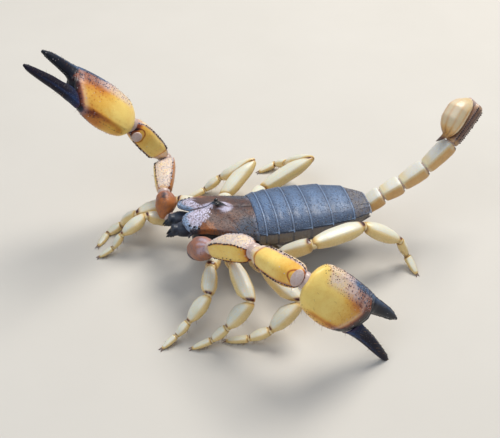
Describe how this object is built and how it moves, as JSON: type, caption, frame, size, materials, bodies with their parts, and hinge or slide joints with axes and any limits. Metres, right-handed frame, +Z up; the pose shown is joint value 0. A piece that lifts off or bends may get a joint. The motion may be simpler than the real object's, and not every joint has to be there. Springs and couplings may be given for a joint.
{
  "type": "burrowing scorpion",
  "caption": "Life-size still model of a thick-clawed burrowing scorpion, one claw raised and one let down, with a grey plated back, straw legs and a low pale tail.",
  "frame": {"origin": "centre of the underside of the model's bounding box, on the floor the feet stand on", "axes": "+Z up, -X towards the head, +X towards the tail, +Y towards the animal's right side; the model is longest along X"},
  "size_m": [0.089, 0.065, 0.0424],
  "materials": {
    "shell_slate": "granular slate-grey shell plate, dull with a fine bluish gloss",
    "shell_brown": "smooth reddish-brown shell, glossy, granular towards the rear",
    "claw_amber": "amber shell, smooth and glossy, with dark granular keels",
    "finger_black": "near-black shell with a bluish gloss and toothed edges",
    "leg_cream": "pale straw shell, slightly waxy, dark at the joints",
    "tail_cream": "pale cream shell above, brown and keeled below, glossy",
    "tail_brown": "dark brown keeled shell",
    "eye_black": "polished black",
    "comb_pale": "pale soft comb, matte"
  },
  "bodies": {
    "root": {"carapace": "shell_brown", "chelicera_left": "shell_brown", "chelicera_right": "shell_brown", "eye_left": "eye_black", "eye_right": "eye_black", "prosoma_underside": "leg_cream", "mesosoma_1": "shell_slate", "mesosoma_2": "shell_slate", "mesosoma_3": "shell_slate", "mesosoma_4": "shell_slate", "mesosoma_5": "shell_slate", "mesosoma_6": "shell_slate", "mesosoma_7": "shell_slate", "pecten_left": "comb_pale", "pecten_right": "comb_pale", "metasoma_1": "tail_cream", "metasoma_2": "tail_cream", "metasoma_3": "tail_cream", "metasoma_4": "tail_cream", "metasoma_5": "tail_brown", "telson_vesicle": "tail_cream", "sting": "tail_brown", "palp_left_coxa": "shell_brown", "palp_left_trochanter": "shell_brown", "palp_left_femur": "claw_amber", "palp_left_patella": "claw_amber", "palp_left_manus": "claw_amber", "palp_left_movable_finger": "finger_black", "leg_left_1_femur": "leg_cream", "leg_left_1_patella": "leg_cream", "leg_left_1_foot": "leg_cream", "leg_left_2_femur": "leg_cream", "leg_left_2_patella": "leg_cream", "leg_left_2_foot": "leg_cream", "leg_left_3_femur": "leg_cream", "leg_left_3_patella": "leg_cream", "leg_left_3_foot": "leg_cream", "leg_left_4_femur": "leg_cream", "leg_left_4_patella": "leg_cream", "leg_left_4_foot": "leg_cream", "palp_right_coxa": "shell_brown", "palp_right_trochanter": "shell_brown", "palp_right_femur": "claw_amber", "palp_right_patella": "claw_amber", "palp_right_manus": "claw_amber", "palp_right_movable_finger": "finger_black", "leg_right_1_femur": "leg_cream", "leg_right_1_patella": "leg_cream", "leg_right_1_foot": "leg_cream", "leg_right_2_femur": "leg_cream", "leg_right_2_patella": "leg_cream", "leg_right_2_foot": "leg_cream", "leg_right_3_femur": "leg_cream", "leg_right_3_patella": "leg_cream", "leg_right_3_foot": "leg_cream", "leg_right_4_femur": "leg_cream", "leg_right_4_patella": "leg_cream", "leg_right_4_foot": "leg_cream"}
  },
  "joints": []
}
